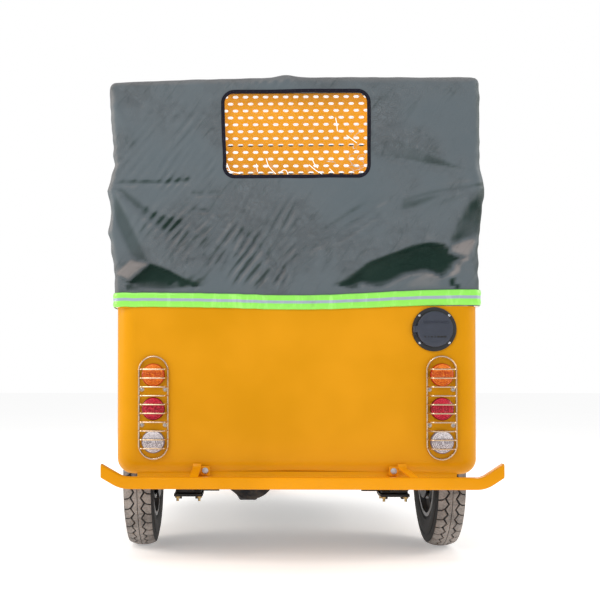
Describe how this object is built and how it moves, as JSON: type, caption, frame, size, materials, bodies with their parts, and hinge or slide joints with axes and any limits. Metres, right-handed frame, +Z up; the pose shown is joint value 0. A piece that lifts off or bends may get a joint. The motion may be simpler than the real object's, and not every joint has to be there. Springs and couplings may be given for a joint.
{
  "type": "auto rickshaw",
  "caption": "Electric three-wheeled passenger auto rickshaw with a soft hood, open sides and a steered front wheel.",
  "frame": {"origin": "middle of the overall box, on the ground", "axes": "+X to the right side, +Y to the front, +Z up"},
  "size_m": [1.5156, 2.799, 1.6993],
  "materials": {
    "yellow_paint": "glossy yellow-orange enamel",
    "black_paint": "satin black chassis paint",
    "grey_paint": "textured grey floor paint",
    "canvas": "dark grey-green coated canvas",
    "clear_vinyl": "clear flexible vinyl",
    "binding": "woven black binding",
    "yellow_sheet": "yellow slotted sheet",
    "reflective": "lime reflective film with a grey centre stripe",
    "seat_vinyl": "black grained seat vinyl",
    "glass": "clear safety glass",
    "amber_lens": "amber moulded lens",
    "red_lens": "red moulded lens",
    "clear_lens": "clear moulded lens over a reflector",
    "black_plastic": "black moulded plastic",
    "chrome": "bright plated metal",
    "tyre_rubber": "black rubber",
    "rim_paint": "silver wheel paint",
    "grip_rubber": "ribbed black rubber",
    "motor_alloy": "cast alloy housing",
    "battery_case": "sealed battery case",
    "spring_steel": "oiled spring steel"
  },
  "bodies": {
    "body": {"chassis_frame": "black_paint", "floor_pan": "grey_paint", "rear_panel": "yellow_paint", "side_panel_left": "yellow_paint", "side_panel_right": "yellow_paint", "wheel_houses": "black_paint", "front_cowl": "yellow_paint", "dashboard": "black_plastic", "windshield_frame": "black_paint", "windshield_glass": "glass", "hood_canopy": "canvas", "hood_bows": "black_paint", "rear_window_pane": "clear_vinyl", "window_binding": "binding", "window_grille": "yellow_sheet", "reflective_strip": "reflective", "seat_bases": "yellow_paint", "passenger_seat_cushion": "seat_vinyl", "passenger_backrest": "seat_vinyl", "driver_seat_cushion": "seat_vinyl", "driver_backrest": "seat_vinyl", "cabin_rails": "black_paint", "battery_pack": "battery_case", "rear_bumper": "yellow_paint", "amber_lamps": "amber_lens", "red_lamps": "red_lens", "clear_lamps": "clear_lens", "lamp_housings": "black_plastic", "lamp_guards": "chrome", "charge_port": "black_plastic", "headlamps": "chrome", "mirrors": "black_plastic", "rear_axle": "black_paint", "drive_motor": "motor_alloy", "rear_suspension": "spring_steel"},
    "rear_wheel_left": {"rear_tyre_left": "tyre_rubber", "rear_rim_left": "rim_paint"},
    "rear_wheel_right": {"rear_tyre_right": "tyre_rubber", "rear_rim_right": "rim_paint"},
    "steering": {"steering_fork": "black_paint", "handlebar": "black_paint", "grips": "grip_rubber", "front_mudguard": "yellow_paint"},
    "front_wheel": {"front_tyre": "tyre_rubber", "front_rim": "rim_paint"},
    "port_flap": {"charge_flap": "black_plastic"}
  },
  "joints": [
    {"name": "rear_wheel_left_spin", "type": "hinge", "parent": "body", "child": "rear_wheel_left", "pos_m": [-0.575, -0.8645, 0.278], "axis": [1, 0, 0], "continuous": true},
    {"name": "rear_wheel_right_spin", "type": "hinge", "parent": "body", "child": "rear_wheel_right", "pos_m": [0.575, -0.8645, 0.278], "axis": [1, 0, 0], "continuous": true},
    {"name": "steering_turn", "type": "hinge", "parent": "body", "child": "steering", "pos_m": [0, 1.0335, 0.278], "axis": [0, -0.3746, 0.9272], "range_deg": [-38, 38]},
    {"name": "front_wheel_spin", "type": "hinge", "parent": "steering", "child": "front_wheel", "pos_m": [0, 1.0855, 0.278], "axis": [1, 0, 0], "continuous": true},
    {"name": "port_flap_hinge", "type": "hinge", "parent": "body", "child": "port_flap", "pos_m": [0.404, -1.318, 0.822], "axis": [0, 0, -1], "range_deg": [0, 110]}
  ]
}
